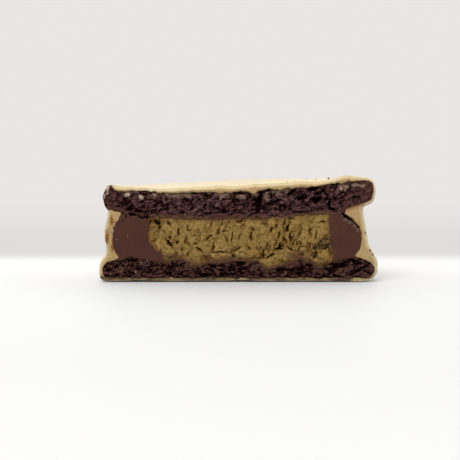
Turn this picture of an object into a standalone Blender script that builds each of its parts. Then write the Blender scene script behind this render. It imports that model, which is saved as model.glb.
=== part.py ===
"""Half of a coated alfajor, cut through its middle.

Two chocolate biscuits hold a core of pistachio cream inside a ring of ganache, and a thin coat of
pale pistachio chocolate covers the stack except on the cut. Each layer is turned whole about the
stack's axis, bent by the same settling, and then halved by one straight knife cut.
Metres, +Z up. The cut faces -Y, and the origin is the centre of the base's bounding box.
"""

import math

import bmesh
import bpy
from mathutils import Vector

# Radii of the stack, from its axis.
FOOT_RADIUS = 0.0330
RIM_RADIUS = 0.0319
WAIST_RADIUS = 0.0299
BELLY_RADIUS = 0.0308
TOP_BISCUIT_RADIUS = 0.0311
BOTTOM_BISCUIT_RADIUS = 0.0316
GANACHE_BASE_RADIUS = 0.0273
GANACHE_RADIUS = 0.0291     # where the ring bulges most
GANACHE_SHOULDER_RADIUS = 0.0278
GANACHE_TOP_RADIUS = 0.0258
CORE_RADIUS = 0.0212

# Heights above the base before the stack settles.
COAT_UNDERSIDE = 0.0006
FOOT_HEIGHT = 0.0033
BOTTOM_BISCUIT_TOP = 0.0053
BELLY_LOW = 0.0080
BELLY_HIGH = 0.0112
WAIST_HEIGHT = 0.0155
FILLING_TOP = 0.0151
RIM_HEIGHT = 0.0191
TOP_BISCUIT_TOP = 0.0218
HEIGHT = 0.0229

GAP = 0.0003                # clearance between two pieces that touch
UPPER_CORNER = 0.0016       # rounding of a biscuit's edge, above and below
LOWER_CORNER = 0.0022
FOOT_ROUNDING = 0.0014
RIM_ROUNDING = 0.0042
DOME_RISE = 0.0020          # how far the seam under the top biscuit rises towards its rim
DOME_RADIUS = 0.0295

# How the pressed stack departs from a true turned one.
TILT = 0.047                # slope of the top, upwards along +X
DISH_RISE = 0.0006          # how far the rim stands above the middle of the top
SLIP = -0.0008              # sideways shift of the waist along X
SLIP_HEIGHT = 0.0140
SLIP_SPREAD = 0.0040
LUMP_RISE = 0.0017          # thick spot of coat on the top, beside the cut
LUMP_X = 0.0255
LUMP_SPREAD = 0.0032

# Segments round the whole disc. An odd number of them in each half turn keeps every seam out of
# the plane of the cut and still puts one at the back, where the disc is deepest.
SEGMENTS = 82


def smooth_through(knots, steps):
    """Points on a Catmull-Rom curve through the knots, steps of them between each two."""
    ends = [2 * knots[0] - knots[1], *knots, 2 * knots[-1] - knots[-2]]
    curve = []
    for before, start, end, after in zip(ends, ends[1:], ends[2:], ends[3:]):
        for step in range(steps):
            t = step / steps
            curve.append(0.5 * (
                2 * start
                + (end - before) * t
                + (2 * before - 5 * start + 4 * end - after) * t ** 2
                + (3 * start - before - 3 * end + after) * t ** 3
            ))
    return [*curve, knots[-1]]


def across(inner, outer, height, rings):
    """Points along a face from an inner radius, left out when it is 0, to an outer one."""
    radii = [inner + (outer - inner) * ring / rings for ring in range(rings + 1)]
    return [Vector((radius, height(radius))) for radius in radii if radius > 0]


def corner(face_end, size, below, steps=3):
    """Points round the quarter circle that leads from the end of a face to the upright edge.

    They run upwards: from the face when it lies below, and to the face when it lies above.
    """
    centre = face_end + Vector((0, size if below else -size))
    start = -math.pi / 2 if below else 0
    angles = [start + math.pi / 2 * step / steps for step in range(steps + 1)]
    return [centre + size * Vector((math.cos(angle), math.sin(angle))) for angle in angles]


def seam_height(radius):
    """Height of the seam between the filling and the top biscuit."""
    return FILLING_TOP + DOME_RISE * (radius / DOME_RADIUS) ** 4


def settled(point, lump):
    """Where a point of the true turned stack lies once the stack has settled.

    The base stays flat, and the tilt and the dish grow from nothing there to full at the top.
    """
    share = point.z / HEIGHT
    spread = math.hypot(point.x, point.y) / RIM_RADIUS
    lift = TILT * point.x * share ** 3 + DISH_RISE * spread ** 4 * share
    slip = SLIP * math.exp(-((point.z - SLIP_HEIGHT) / SLIP_SPREAD) ** 2)
    reach = math.hypot(point.x - LUMP_X, point.y) / LUMP_SPREAD
    swell = lump * share ** 8 * math.exp(-reach ** 2)
    return point + Vector((slip, 0, lift + swell))


def turned(name, outline, ring=False, lump=0.0):
    """An object turned about Z from an outline of (radius, height) points, then settled.

    A ring's outline is closed on itself. Any other runs from the base to the top, and the two
    holes at its ends are closed with flat faces.
    """
    start = math.pi / SEGMENTS
    mesh = bmesh.new()
    points = [
        mesh.verts.new((radius * math.cos(start), radius * math.sin(start), height))
        for radius, height in outline
    ]
    edges = [mesh.edges.new(pair) for pair in zip(points, points[1:])]
    if ring:
        edges.append(mesh.edges.new((points[-1], points[0])))
    bmesh.ops.spin(
        mesh, geom=points + edges, cent=(0, 0, 0), axis=(0, 0, 1),
        angle=math.tau, steps=SEGMENTS, use_merge=True,
    )
    bmesh.ops.holes_fill(mesh, edges=mesh.edges, sides=0)
    for point in mesh.verts:
        point.co = settled(point.co, lump)
    bmesh.ops.recalc_face_normals(mesh, faces=mesh.faces)
    data = bpy.data.meshes.new(name)
    mesh.to_mesh(data)
    mesh.free()
    piece = bpy.data.objects.new(name, data)
    bpy.context.scene.collection.objects.link(piece)
    return piece


def coat_outline():
    """The outside of the coat: a foot, a belly over the filling, a waist and a round rim."""
    rim_rise = HEIGHT - RIM_HEIGHT
    side = smooth_through([
        Vector((FOOT_RADIUS - FOOT_ROUNDING, 0)),
        Vector((FOOT_RADIUS - FOOT_ROUNDING / 2, FOOT_HEIGHT * 0.3)),
        Vector((FOOT_RADIUS, FOOT_HEIGHT)),
        Vector((FOOT_RADIUS - FOOT_ROUNDING, FOOT_HEIGHT * 1.8)),
        Vector((BELLY_RADIUS, BELLY_LOW)),
        Vector((BELLY_RADIUS, BELLY_HIGH)),
        Vector((WAIST_RADIUS, WAIST_HEIGHT - GAP)),
        Vector((WAIST_RADIUS, WAIST_HEIGHT + GAP)),
        Vector((RIM_RADIUS - RIM_ROUNDING * 0.2, RIM_HEIGHT - rim_rise * 0.6)),
        Vector((RIM_RADIUS, RIM_HEIGHT)),
        Vector((RIM_RADIUS - RIM_ROUNDING * 0.15, RIM_HEIGHT + rim_rise * 0.6)),
        Vector((RIM_RADIUS - RIM_ROUNDING * 0.5, RIM_HEIGHT + rim_rise * 0.95)),
        Vector((RIM_RADIUS - RIM_ROUNDING, HEIGHT)),
    ], steps=2)
    top = across(0, RIM_RADIUS - RIM_ROUNDING, lambda r: HEIGHT, rings=6)
    return side + top[-2::-1]


def biscuit_outline(radius, underside, topside, rings):
    """A disc with a rounded edge between two faces, each given as a height for every radius."""
    under = across(0, radius - LOWER_CORNER, underside, rings)
    top = across(0, radius - UPPER_CORNER, topside, rings)
    return (
        under[:-1]
        + corner(under[-1], LOWER_CORNER, below=True)
        + corner(top[-1], UPPER_CORNER, below=False)
        + top[-2::-1]
    )


def bottom_biscuit_outline(grow=0.0):
    """The flat biscuit that the stack stands on, larger by grow on every side."""
    return biscuit_outline(
        BOTTOM_BISCUIT_RADIUS + grow,
        lambda r: COAT_UNDERSIDE + GAP - grow,
        lambda r: BOTTOM_BISCUIT_TOP - GAP / 2 + grow,
        rings=2,
    )


def top_biscuit_outline(grow=0.0):
    """The biscuit that lies on the filling, larger by grow on every side."""
    return biscuit_outline(
        TOP_BISCUIT_RADIUS + grow,
        lambda r: seam_height(r) + GAP / 2 - grow,
        lambda r: TOP_BISCUIT_TOP - GAP + grow,
        rings=4,
    )


def ganache_outline(grow=0.0):
    """A section of the ring: a straight inner wall and an outer one that bulges."""
    low = BOTTOM_BISCUIT_TOP + GAP / 2 - grow
    wall = CORE_RADIUS + GAP / 2
    top = across(
        wall, GANACHE_TOP_RADIUS + grow, lambda r: seam_height(r) - GAP / 2 + grow, rings=2,
    )
    bulge = smooth_through([
        Vector((GANACHE_BASE_RADIUS + grow, low)),
        Vector((GANACHE_RADIUS + grow, BELLY_LOW)),
        Vector((GANACHE_RADIUS + grow, BELLY_HIGH)),
        Vector((GANACHE_SHOULDER_RADIUS + grow, WAIST_HEIGHT - LOWER_CORNER / 2)),
        top[-1],
    ], steps=2)
    return [Vector((wall, low)), *bulge, *top[-2::-1]]


def core_outline():
    """The disc of cream inside the ganache."""
    wall = CORE_RADIUS - GAP / 2
    top = across(0, wall, lambda r: seam_height(r) - GAP / 2, rings=3)
    return [Vector((wall, BOTTOM_BISCUIT_TOP + GAP / 2)), *top[::-1]]


def filling_outline():
    """The room that the ganache and the cream take together, with their clearance."""
    ring = ganache_outline(grow=GAP)
    top = across(0, ring[-1].x, lambda r: seam_height(r) + GAP / 2, rings=3)
    return ring + top[-2::-1]


def material(name, colour, roughness):
    """A Principled material of one colour, given as linear red, green and blue."""
    made = bpy.data.materials.new(name)
    made.use_nodes = True
    shader = made.node_tree.nodes["Principled BSDF"]
    shader.inputs["Base Color"].default_value = (*colour, 1)
    shader.inputs["Roughness"].default_value = roughness
    shader.inputs["Metallic"].default_value = 0
    return made


def knife_block():
    """A block whose back is the plane of the cut."""
    mesh = bmesh.new()
    bmesh.ops.create_cube(mesh, size=4 * FOOT_RADIUS)
    bmesh.ops.translate(mesh, verts=mesh.verts, vec=(0, -2 * FOOT_RADIUS, 0))
    data = bpy.data.meshes.new("knife")
    mesh.to_mesh(data)
    mesh.free()
    block = bpy.data.objects.new("knife", data)
    bpy.context.scene.collection.objects.link(block)
    return block


def take_away(piece, cutter):
    """Cuts the cutter's shape out of the piece."""
    cutter.hide_render = True
    cutter.display_type = "WIRE"
    boolean = piece.modifiers.new(cutter.name, "BOOLEAN")
    boolean.operation = "DIFFERENCE"
    boolean.solver = "EXACT"
    boolean.object = cutter


def build():
    for old in list(bpy.data.objects):
        bpy.data.objects.remove(old)

    coating = turned("coating", coat_outline(), lump=LUMP_RISE)
    top_biscuit = turned("top_biscuit", top_biscuit_outline())
    bottom_biscuit = turned("bottom_biscuit", bottom_biscuit_outline())
    ganache_ring = turned("ganache_ring", ganache_outline(), ring=True)
    pistachio_cream = turned("pistachio_cream", core_outline())

    crumb = material("cocoa_biscuit", (0.07, 0.03, 0.027), 0.85)
    finishes = {
        coating: material("pistachio_coat", (0.6, 0.46, 0.23), 0.35),
        top_biscuit: crumb,
        bottom_biscuit: crumb,
        ganache_ring: material("ganache", (0.11, 0.044, 0.032), 0.45),
        pistachio_cream: material("pistachio_cream", (0.36, 0.23, 0.07), 0.7),
    }
    knife = knife_block()
    for piece, finish in finishes.items():
        piece.data.materials.append(finish)
        piece.data.shade_smooth()
        piece.data.set_sharp_from_angle(angle=math.radians(40))
        take_away(piece, knife)

    take_away(coating, turned("room_for_top_biscuit", top_biscuit_outline(grow=GAP)))
    take_away(coating, turned("room_for_bottom_biscuit", bottom_biscuit_outline(grow=GAP)))
    take_away(coating, turned("room_for_filling", filling_outline()))

    # The half disc reaches from the cut to its back, so its box is centred half a radius behind.
    stack_axis = bpy.data.objects.new("stack_axis", None)
    for thing in bpy.data.objects:
        if thing is not stack_axis:
            thing.parent = stack_axis
    stack_axis.location = (0, -FOOT_RADIUS / 2, 0)
    bpy.context.scene.collection.objects.link(stack_axis)


build()
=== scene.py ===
"""The looks of half an alfajor: two cocoa biscuits, a ring of ganache round a core of pistachio
cream, and a coat of pistachio white chocolate over everything but the cut.

Shapes are worked out in millimetres: x along the cut, y back from the cut and z up from the base.
Each layer is one closed mesh. Its cut face is a net of fine quads with the relief that the knife
left, and its skin is turned from the right-hand end of the cut, round the back, to the left.
"""

import math

import bmesh
import bpy
import numpy as np
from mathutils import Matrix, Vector, noise


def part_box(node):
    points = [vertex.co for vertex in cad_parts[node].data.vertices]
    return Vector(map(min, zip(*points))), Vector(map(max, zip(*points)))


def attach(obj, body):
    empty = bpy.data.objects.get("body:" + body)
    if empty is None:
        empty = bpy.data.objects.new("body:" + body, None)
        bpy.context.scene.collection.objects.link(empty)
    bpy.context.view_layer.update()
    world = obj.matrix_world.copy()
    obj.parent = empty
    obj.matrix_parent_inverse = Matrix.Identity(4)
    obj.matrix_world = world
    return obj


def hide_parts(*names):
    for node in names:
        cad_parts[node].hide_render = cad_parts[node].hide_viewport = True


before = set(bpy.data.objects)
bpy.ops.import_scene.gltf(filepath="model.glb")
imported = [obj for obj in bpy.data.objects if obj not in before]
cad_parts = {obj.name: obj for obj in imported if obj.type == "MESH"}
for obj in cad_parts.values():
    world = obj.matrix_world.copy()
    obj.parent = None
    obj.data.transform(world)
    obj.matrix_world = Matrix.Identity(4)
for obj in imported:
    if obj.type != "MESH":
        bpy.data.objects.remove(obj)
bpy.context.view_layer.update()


# --- Coat ---------------------------------------------------------------------------------------
# Pistachio white chocolate that the pressed stack was dipped in. It pools in a foot, bridges the
# waist between the biscuits and rolls over the rim. An outer and an inner skin are turned, and
# the band that the knife left joins them at the cut.

MM = 0.001
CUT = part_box("coating")[0].y
ROOM = np.array(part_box("coating")) / MM     # the CAD coat's lowest and highest corner
ROOM[:, 1] -= CUT / MM

# Radius and height of the coat's outside and of its inside, from the middle of the base, up the
# side and back to the middle of the top: first at the right-hand end of the cut, then at the left.
COAT_RIGHT = [
    (0, 0, 0, 1.0), (29.0, 0, 29.5, 1.0), (31.5, 0.8, 31.2, 1.35), (32.85, 2.2, 32.1, 2.4),
    (32.97, 3.6, 32.05, 3.7), (32.95, 5.1, 30.8, 4.9), (32.3, 6.6, 29.1, 5.6),
    (31.5, 8.0, 27.55, 6.25), (30.8, 9.4, 28.6, 7.7), (30.55, 10.6, 28.95, 9.4),
    (30.35, 11.8, 28.95, 10.9), (30.15, 13.2, 28.75, 12.2), (29.9, 14.6, 28.1, 13.6),
    (29.65, 16.0, 26.6, 15.1), (29.5, 17.2, 25.3, 16.2), (29.8, 18.0, 25.4, 17.3),
    (30.9, 18.4, 28.0, 18.25), (31.9, 19.3, 30.95, 19.4), (32.35, 21.0, 31.6, 21.0),
    (32.35, 22.5, 31.65, 22.5), (31.7, 23.75, 31.15, 23.7), (29.2, 24.55, 28.9, 23.95),
    (22, 23.95, 22, 23.15), (15, 23.25, 15, 22.35), (8, 22.75, 8, 21.85), (0, 22.45, 0, 21.25),
]
COAT_LEFT = [
    (0, 0, 0, 1.0), (31.0, 0, 30.4, 1.05), (32.5, 0.7, 31.7, 1.4), (32.97, 2.0, 32.1, 2.4),
    (32.97, 3.4, 32.0, 3.6), (32.6, 5.0, 31.0, 4.7), (31.65, 6.3, 29.5, 5.15),
    (31.3, 7.4, 28.3, 5.8), (31.35, 8.8, 29.1, 7.1), (31.6, 10.2, 29.6, 8.9),
    (31.75, 11.6, 29.55, 10.8), (31.55, 13.1, 29.4, 12.6), (31.25, 14.5, 28.8, 14.2),
    (30.95, 15.8, 27.7, 16.0), (30.85, 16.9, 28.0, 16.6), (31.2, 17.7, 30.1, 17.0),
    (31.85, 18.6, 31.4, 18.2), (32.35, 19.6, 31.85, 19.5), (32.35, 20.6, 31.85, 20.6),
    (31.9, 21.7, 31.3, 21.6), (30.8, 22.5, 30.3, 21.9), (28.0, 22.3, 27.6, 21.4),
    (22, 22.1, 22, 21.3), (15, 21.95, 15, 21.2), (8, 22.2, 8, 21.25), (0, 22.45, 0, 21.25),
]
STEPS = 24                      # points between each two knots of a line
SIDE = slice(1 * STEPS, 21 * STEPS)     # of the coat's line, from the edge of the base to the rim
COAT_ROWS = {"base": 20, "side": 140, "top": 90}
COAT_COLUMNS = 230
CROWDING = 0.6                  # how much closer the columns stand at the cut than on average
COAT_EDGE = {"side": 0.7, "top": 0.9, "base": 0.4}      # how far the cut's edge is rounded back
COAT_LIP = 0.9                  # how far the edge against the layers lies behind the cut
COAT_SWELLS = [(11, 0.15), (3.2, 0.05)]     # of its outside: how far across and how high
RUN_RISE, RUN_WIDTH, RUN_LENGTH, RUN_LEAN = 0.11, 3.4, 11, 7    # of the runs down its side
LUMP_AT, LUMP_RISE, LUMP_SPREAD, LUMP_REACH = 25.1, 0.85, 2.3, 4
FRONT_RISE = [                  # where along the cut the top swells up, and how much
    (-33, 0.4), (-27, 0.4), (-19, 0.15), (-12, 0.4), (0, 0.4), (6, 0.65), (14, 0.6), (19, 0.2),
    (23, 0.2), (29, 0.3), (33, 0.4),
]
EDGE_RUN_REACH = 1.6            # how far back the small swells on the top's edge reach
RUNS_ON_EDGE = [                # where along the cut, how high and how wide
    (-4.3, 0.3, 1.3), (-1.0, -0.1, 1.0), (3.7, 0.3, 0.9), (14.9, 0.12, 1.3), (17.8, -0.12, 1.2),
]
COAT_DRIPS = [                  # where the top's inner edge hangs down, how far and how wide
    (-15.5, 0.3, 1.2), (-4.4, 0.2, 1.4), (3.6, 0.7, 0.8), (6.6, -0.3, 1.0), (9.6, 0.35, 1.0),
    (-23.5, -0.3, 3.0),
]
SINK = 0.85                     # how far the back has sunk, at the top
CHIP_DEPTH, CHIP_REACH = 0.95, 3.2      # where the rim has broken off at the left of the cut
CHIP_FROM_X, CHIP_FROM_Z = (29.3, 30.1), (17.2, 18.0)   # it sets in between these
BASE_LIFT = 0.32                # the wavy front edge of the base stands about this off the table
FOOT_Z, RIM_Z = 2, 20           # the base's edge lies below the one, the top's above the other
OVER_CRUMB, UNDER_CRUMB = (20.5, 21), (1.2, 1.6)    # heights between which biscuit meets coat
CUT_POINTS = 17                 # of the band at the cut, from its outer edge to the layers
CUT_DEEP, CUT_WEAR = 0.08, [(1.3, 0, 0.06), (0.4, 3, 0.04)]     # size, pattern and depth of each
HIDDEN_COLUMNS = 34             # a skin that the coat hides needs only these


def smooth_line(knots):
    """A smooth line through the knots, kept tight where a long step meets a short one."""
    knots = np.array(knots, float)
    step = np.diff(knots, axis=0)
    length = np.linalg.norm(step, axis=1)
    slope = (np.vstack([step[:1], step]) + np.vstack([step, step[-1:]])) / 2
    tight = 1.5 * np.minimum(np.append(length[0], length), np.append(length, length[-1]))
    slope *= np.minimum(1, tight / np.linalg.norm(slope, axis=1))[:, None]
    t = (np.arange(STEPS) / STEPS)[:, None, None]
    line = (
        knots[:-1] + step * (3 * t ** 2 - 2 * t ** 3)
        + slope[:-1] * (t - 2 * t ** 2 + t ** 3) + slope[1:] * (t ** 3 - t ** 2)
    )
    return np.vstack([line.transpose(1, 0, 2).reshape(-1, knots.shape[1]), knots[-1]])


def evenly(line, count):
    """That many points along a line, at equal spaces."""
    run = np.append(0, np.cumsum(np.linalg.norm(np.diff(line, axis=0), axis=1)))
    places = np.linspace(0, run[-1], count)
    return np.stack([np.interp(places, run, values) for values in line.T], 1)


def smoothstep(low, high, value):
    """0 below low, 1 above high and a soft rise between them."""
    share = np.clip((value - low) / (high - low), 0, 1)
    return share * share * (3 - 2 * share)


def grain(scale, x, y, z, octaves=3):
    """Cloudy noise from about -1 to 1, whose largest features are scale millimetres across.

    A plain number in place of x, y or z picks a pattern of its own.
    """
    x, y, z = np.broadcast_arrays(x, y, z)
    places = zip(np.ravel(x / scale), np.ravel(y / scale), np.ravel(z / scale))
    return np.array([noise.fractal(place, 1.0, 2.0, octaves) for place in places]).reshape(x.shape)


def angles(columns):
    """Angles for the columns of a skin, closest together at both ends of the cut."""
    share = np.linspace(0, 1, columns + 1)
    return math.pi * (share - CROWDING * np.sin(2 * math.pi * share) / (2 * math.pi))


def turned(right, left, angle, start):
    """A skin turned half round, from an outline of (radius, height) to another of as many points.

    Each outline may also change from column to column. start is how far the skin's two ends lie
    behind the cut, for the whole skin or for each row.
    """
    share = (1 - np.cos(angle)) / 2
    right, left = (line if line.ndim == 3 else line[:, None] for line in (right, left))
    radius, height = np.moveaxis(right * (1 - share[:, None]) + left * share[:, None], -1, 0)
    reach = 1 - start / ROOM[1, 1]
    return np.stack(
        [radius * np.cos(angle), start + radius * np.sin(angle) * reach, height], -1
    )


def net(points):
    """The points of a grid and its quads, ready to be joined with others."""
    rows, columns = points.shape[:2]
    index = np.arange(rows * columns).reshape(rows, columns)
    quads = np.stack([index[:-1, :-1], index[:-1, 1:], index[1:, 1:], index[1:, :-1]], -1)
    return points.reshape(-1, 3), quads.reshape(-1, 4)


def placed(points):
    """Points in millimetres as places in the frame, kept inside the CAD coat's box."""
    sunk = SINK * smoothstep(3, 25, points[:, 1]) * (points[:, 2] / ROOM[1, 2]) ** 2
    places = points - sunk[:, None] * (0, 0, 1)
    places = np.clip(places, ROOM[0] + 0.001, ROOM[1] - 0.001) * MM
    places[:, 1] += CUT
    places[points[:, 2] < 0.001, 2] = 0
    return places


def closed_mesh(name, nets):
    """One mesh of several nets, joined where their edges meet, with its faces pointing out."""
    points = np.vstack([points for points, _ in nets])
    starts = np.cumsum([0] + [len(points) for points, _ in nets])
    quads = np.vstack([quads + start for (_, quads), start in zip(nets, starts)])
    data = bpy.data.meshes.new(name)
    data.from_pydata(placed(points).tolist(), [], quads.tolist())
    mesh = bmesh.new()
    mesh.from_mesh(data)
    bmesh.ops.remove_doubles(mesh, verts=mesh.verts, dist=0.001 * MM)
    bmesh.ops.dissolve_degenerate(mesh, edges=mesh.edges, dist=0.001 * MM)
    bmesh.ops.recalc_face_normals(mesh, faces=mesh.faces)
    mesh.to_mesh(data)
    mesh.free()
    data.shade_smooth()
    return data


def put(name, data):
    """A new object in the scene."""
    made = bpy.data.objects.new(name, data)
    bpy.context.scene.collection.objects.link(made)
    return made


def layer(name, data, material, slot, *nodes):
    """Puts a mesh in the scene as a piece of the alfajor, in place of these CAD nodes."""
    piece = put(name, data)
    data.materials.append(material)
    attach(piece, "root")
    if nodes:
        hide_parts(*nodes)


def coat_rows(knots):
    """The coat's outline at one end of the cut, as rows of the four numbers of its knots."""
    line = smooth_line(knots)
    base = evenly(line[:SIDE.start + 1], COAT_ROWS["base"])
    side = evenly(line[SIDE.start:SIDE.stop + 1], COAT_ROWS["side"])
    top = evenly(line[SIDE.stop:], COAT_ROWS["top"])
    return np.vstack([base[:-1], side, top[1:]])


def outward(skin):
    """The unit normal at each point of a turned skin."""
    along, round_ = np.gradient(skin, axis=0), np.gradient(skin, axis=1)
    normal = np.cross(round_, along)
    length = np.linalg.norm(normal, axis=-1, keepdims=True)
    return np.where(length > 1e-6, normal / np.maximum(length, 1e-6), (0, 0, 1))


def edge_depth(outline):
    """How far back the rounded edge of the cut starts, for each point of the coat's outside."""
    ahead = np.gradient(outline, axis=0)
    facing_up = -ahead[:, 0] / np.linalg.norm(ahead, axis=1)
    height = outline[:, 1]
    depth = np.full(len(outline), COAT_EDGE["side"])
    depth += (COAT_EDGE["top"] - depth) * smoothstep(0.1, 0.9, facing_up) * (height > RIM_Z)
    return depth + (COAT_EDGE["base"] - depth) * smoothstep(0.2, 0.9, -facing_up) * (height < FOOT_Z)


def coat_skin(right, left):
    """The outside of the coat, with the swells and runs that the chocolate set in."""
    start = edge_depth(right[:, :2])[:, None]
    skin = turned(right[:, :2], left[:, :2], angles(COAT_COLUMNS), start)
    x, y, z = np.moveaxis(skin, -1, 0)
    normal = outward(skin)
    above_base = smoothstep(0, 0.8, z)
    facing_up = smoothstep(0.6, 0.95, normal[..., 2]) * smoothstep(15, 20, z)
    swell = sum(high * grain(size, x, y, z, 2) for size, high in COAT_SWELLS)
    round_ = np.arctan2(y, x) * ROOM[1, 0]
    runs = RUN_RISE * grain(1, round_ / RUN_WIDTH + z / RUN_LEAN, 5, z / RUN_LENGTH, 2)
    swollen = np.interp(x, *smooth_line(FRONT_RISE).T) * (1 - smoothstep(0, 16, y))
    swollen += LUMP_RISE * np.exp(-((x - LUMP_AT) / LUMP_SPREAD) ** 2 - (y / LUMP_REACH) ** 2)
    for at, high, wide in RUNS_ON_EDGE:
        swollen += high * np.exp(-((x - at) / wide) ** 2 - (y / EDGE_RUN_REACH) ** 2)
    lift = swell + runs * (1 - facing_up) * smoothstep(1, 5, z) - 0.05
    lift = lift * above_base * smoothstep(-1, 6, y) + swollen * facing_up
    torn = 0.7 * grain(1.6, x, y, z, 3)
    chip = smoothstep(*CHIP_FROM_X, -x + 0.3 * torn) * smoothstep(*CHIP_FROM_Z, z + 0.2 * torn)
    chip *= 1 - smoothstep(CHIP_REACH - 0.5, CHIP_REACH + 0.5, y + torn)
    skin = skin + normal * (lift - CHIP_DEPTH * chip)[..., None]
    skin[..., 1] += chip * np.maximum(CHIP_REACH - skin[..., 1], 0)
    wave = np.clip(1 + 0.6 * grain(5, x, 7, 0, 2), 0, 1.4)
    skin[..., 2] += BASE_LIFT * wave * (1 - above_base) * (1 - smoothstep(2, 6, y))
    return skin


def coat_band(outer, inner):
    """The cut face of the coat, from its rounded outer edge to the layers inside it."""
    share = (1 - np.cos(np.linspace(0, math.pi, CUT_POINTS))) / 2
    line = outer[:, None] + (inner - outer)[:, None] * share[:, None]
    width = np.linalg.norm((inner - outer)[:, ::2], axis=1)[:, None]
    x, _, z = np.moveaxis(line, -1, 0)
    start = outer[:, 1:2]
    reach = np.maximum((1.2 + 0.3 * (z > 3)) * start, 0.2)
    round_part = np.clip(1 - share * width / reach, 0, 1)
    rounding = 1 - np.sqrt(1 - round_part ** 2)
    wear = sum((deep * grain(size, x, at, z) for size, at, deep in CUT_WEAR), CUT_DEEP)
    wear = np.maximum(wear, 0.01) + 2.5 * smoothstep(1.3, 2.8, start)
    wear += (0.45 + 0.3 * grain(1.6, x, 4, 0)) * (1 - smoothstep(0.9, 1.6, z))
    lip = 1 - smoothstep(0, 0.1, (1 - share) * width)
    depth = start * rounding + wear * (1 - rounding)
    line[..., 1] = depth * (1 - lip) + inner[:, 1:2] * lip
    line[:, 0, 1] = outer[:, 1]
    return line


def frayed(rows, way):
    """The same rows with an inside that is uneven where it meets the crumb of a biscuit."""
    x, z = way * rows[:, 2], rows[:, 3]
    over = smoothstep(*OVER_CRUMB, z) * (1 - smoothstep(29, 30.5, rows[:, 2]))
    under = 1 - smoothstep(*UNDER_CRUMB, z)
    rows[:, 3] += over * (0.38 * grain(1.7, x, 27, 0, 4) + 0.16 * grain(0.9, x, 33, 0, 2))
    rows[:, 3] += under * 0.25 * grain(1.8, x, 28, 0)
    for at, drop, wide in COAT_DRIPS:
        rows[:, 3] -= over * drop * np.exp(-((x - at) / wide) ** 2)
    beside = smoothstep(9, 11, z) * (1 - smoothstep(15, 16, z))
    rows[:, 2] += beside * (0.16 + 0.14 * smoothstep(11.5, 12.5, z)) * grain(0.8, x, 35, z, 2)
    return rows


coat_right, coat_left = frayed(coat_rows(COAT_RIGHT), 1), frayed(coat_rows(COAT_LEFT), -1)
coat_outside = coat_skin(coat_right, coat_left)
coat_inside = turned(coat_right[:, 2:], coat_left[:, 2:], angles(HIDDEN_COLUMNS), COAT_LIP)
coat_mesh = closed_mesh("coat", [
    net(coat_outside),
    net(coat_inside),
    net(coat_band(coat_outside[:, 0], coat_inside[:, 0])),
    net(coat_band(coat_outside[:, -1], coat_inside[:, -1])),
])


def patches(x, z, spots, soft=0.35):
    """1 inside any of these ragged spots and 0 outside. Each is x, z, half width, half height."""
    near = np.full(np.shape(x), 9.0)
    torn = 0.9 * grain(1.1, x, 23, z, 4)
    for at_x, at_z, wide, high in spots:
        near = np.minimum(near, np.hypot((x - at_x) / wide, (z - at_z) / high) + torn)
    return 1 - smoothstep(1 - soft, 1 + soft, near)


def tag(data, **marks):
    """Gives each vertex named numbers. Each is plain, or worked out from the place in mm."""
    places = np.empty(len(data.vertices) * 3)
    data.vertices.foreach_get("co", places)
    x, y, z = (places.reshape(-1, 3) - (0, CUT, 0)).T / MM
    for name, mark in marks.items():
        values = mark(x, y, z) if callable(mark) else np.full(len(x), float(mark))
        data.attributes.new(name, "FLOAT", "POINT").data.foreach_set("value", values)


# x, z, half width and half height
COAT_STAINS = [(-31.1, 10.6, 0.45, 1.9), (-29.8, 14.4, 0.45, 1.0), (-29.75, 9.3, 0.3, 1.9)]
BASE_SHADE_FADES, CRUMB_ENDS = (26, 29), (29.8, 30.6)  # where the painted base shade and the cocoa and shade over the crumb fade out
UNDER_BISCUIT, BISCUIT_LOW, ON_RIM = (24.8, 26), (16, 17), (18.2, 18.8)     # where the fat is
TOP_ROWS = slice(COAT_ROWS["base"] + COAT_ROWS["side"] - 2, None)
inner_edge = np.vstack([coat_inside[TOP_ROWS, -1], coat_inside[TOP_ROWS, 0][::-1]])


def cocoa_and_painted_shade(x, y, z):
    """How much a point is darkened: painted shade along the base's front edge, darkest at the
    left-hand corner, and cocoa rubbed in with painted shade where the coat meets the crumb.
    """
    # Painted shade along the base's front edge, darkest at the left-hand corner.
    base = np.clip(0.8 + 0.6 * grain(2, x, 29, z) + (x < -28), 0, 1) * (1 - smoothstep(*BASE_SHADE_FADES, x))
    base = base * (1 - smoothstep(1.0, 1.6, z)) * (1 - smoothstep(0.4, 1.0, y))
    # Where the coat meets the crumb: cocoa rubbed in, with painted shade.
    above_crumb = z - np.interp(x, inner_edge[:, 0], inner_edge[:, 2])
    over = 1 - smoothstep(-0.1, 0.8, above_crumb + 0.3 * grain(1.2, x, 30, z))
    over = over * (1 - smoothstep(*CRUMB_ENDS, np.abs(x)))
    return np.maximum(base, 0.65 * over * (z > OVER_CRUMB[0]) * (y < 1))


def gap_to(x, z, *lines):
    """How far a point of the cut is from the nearest point of these lines."""
    line = np.vstack(lines)
    return np.array([np.hypot(at_x - line[:, 0], at_z - line[:, 2]).min() for at_x, at_z in zip(x, z)])


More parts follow.
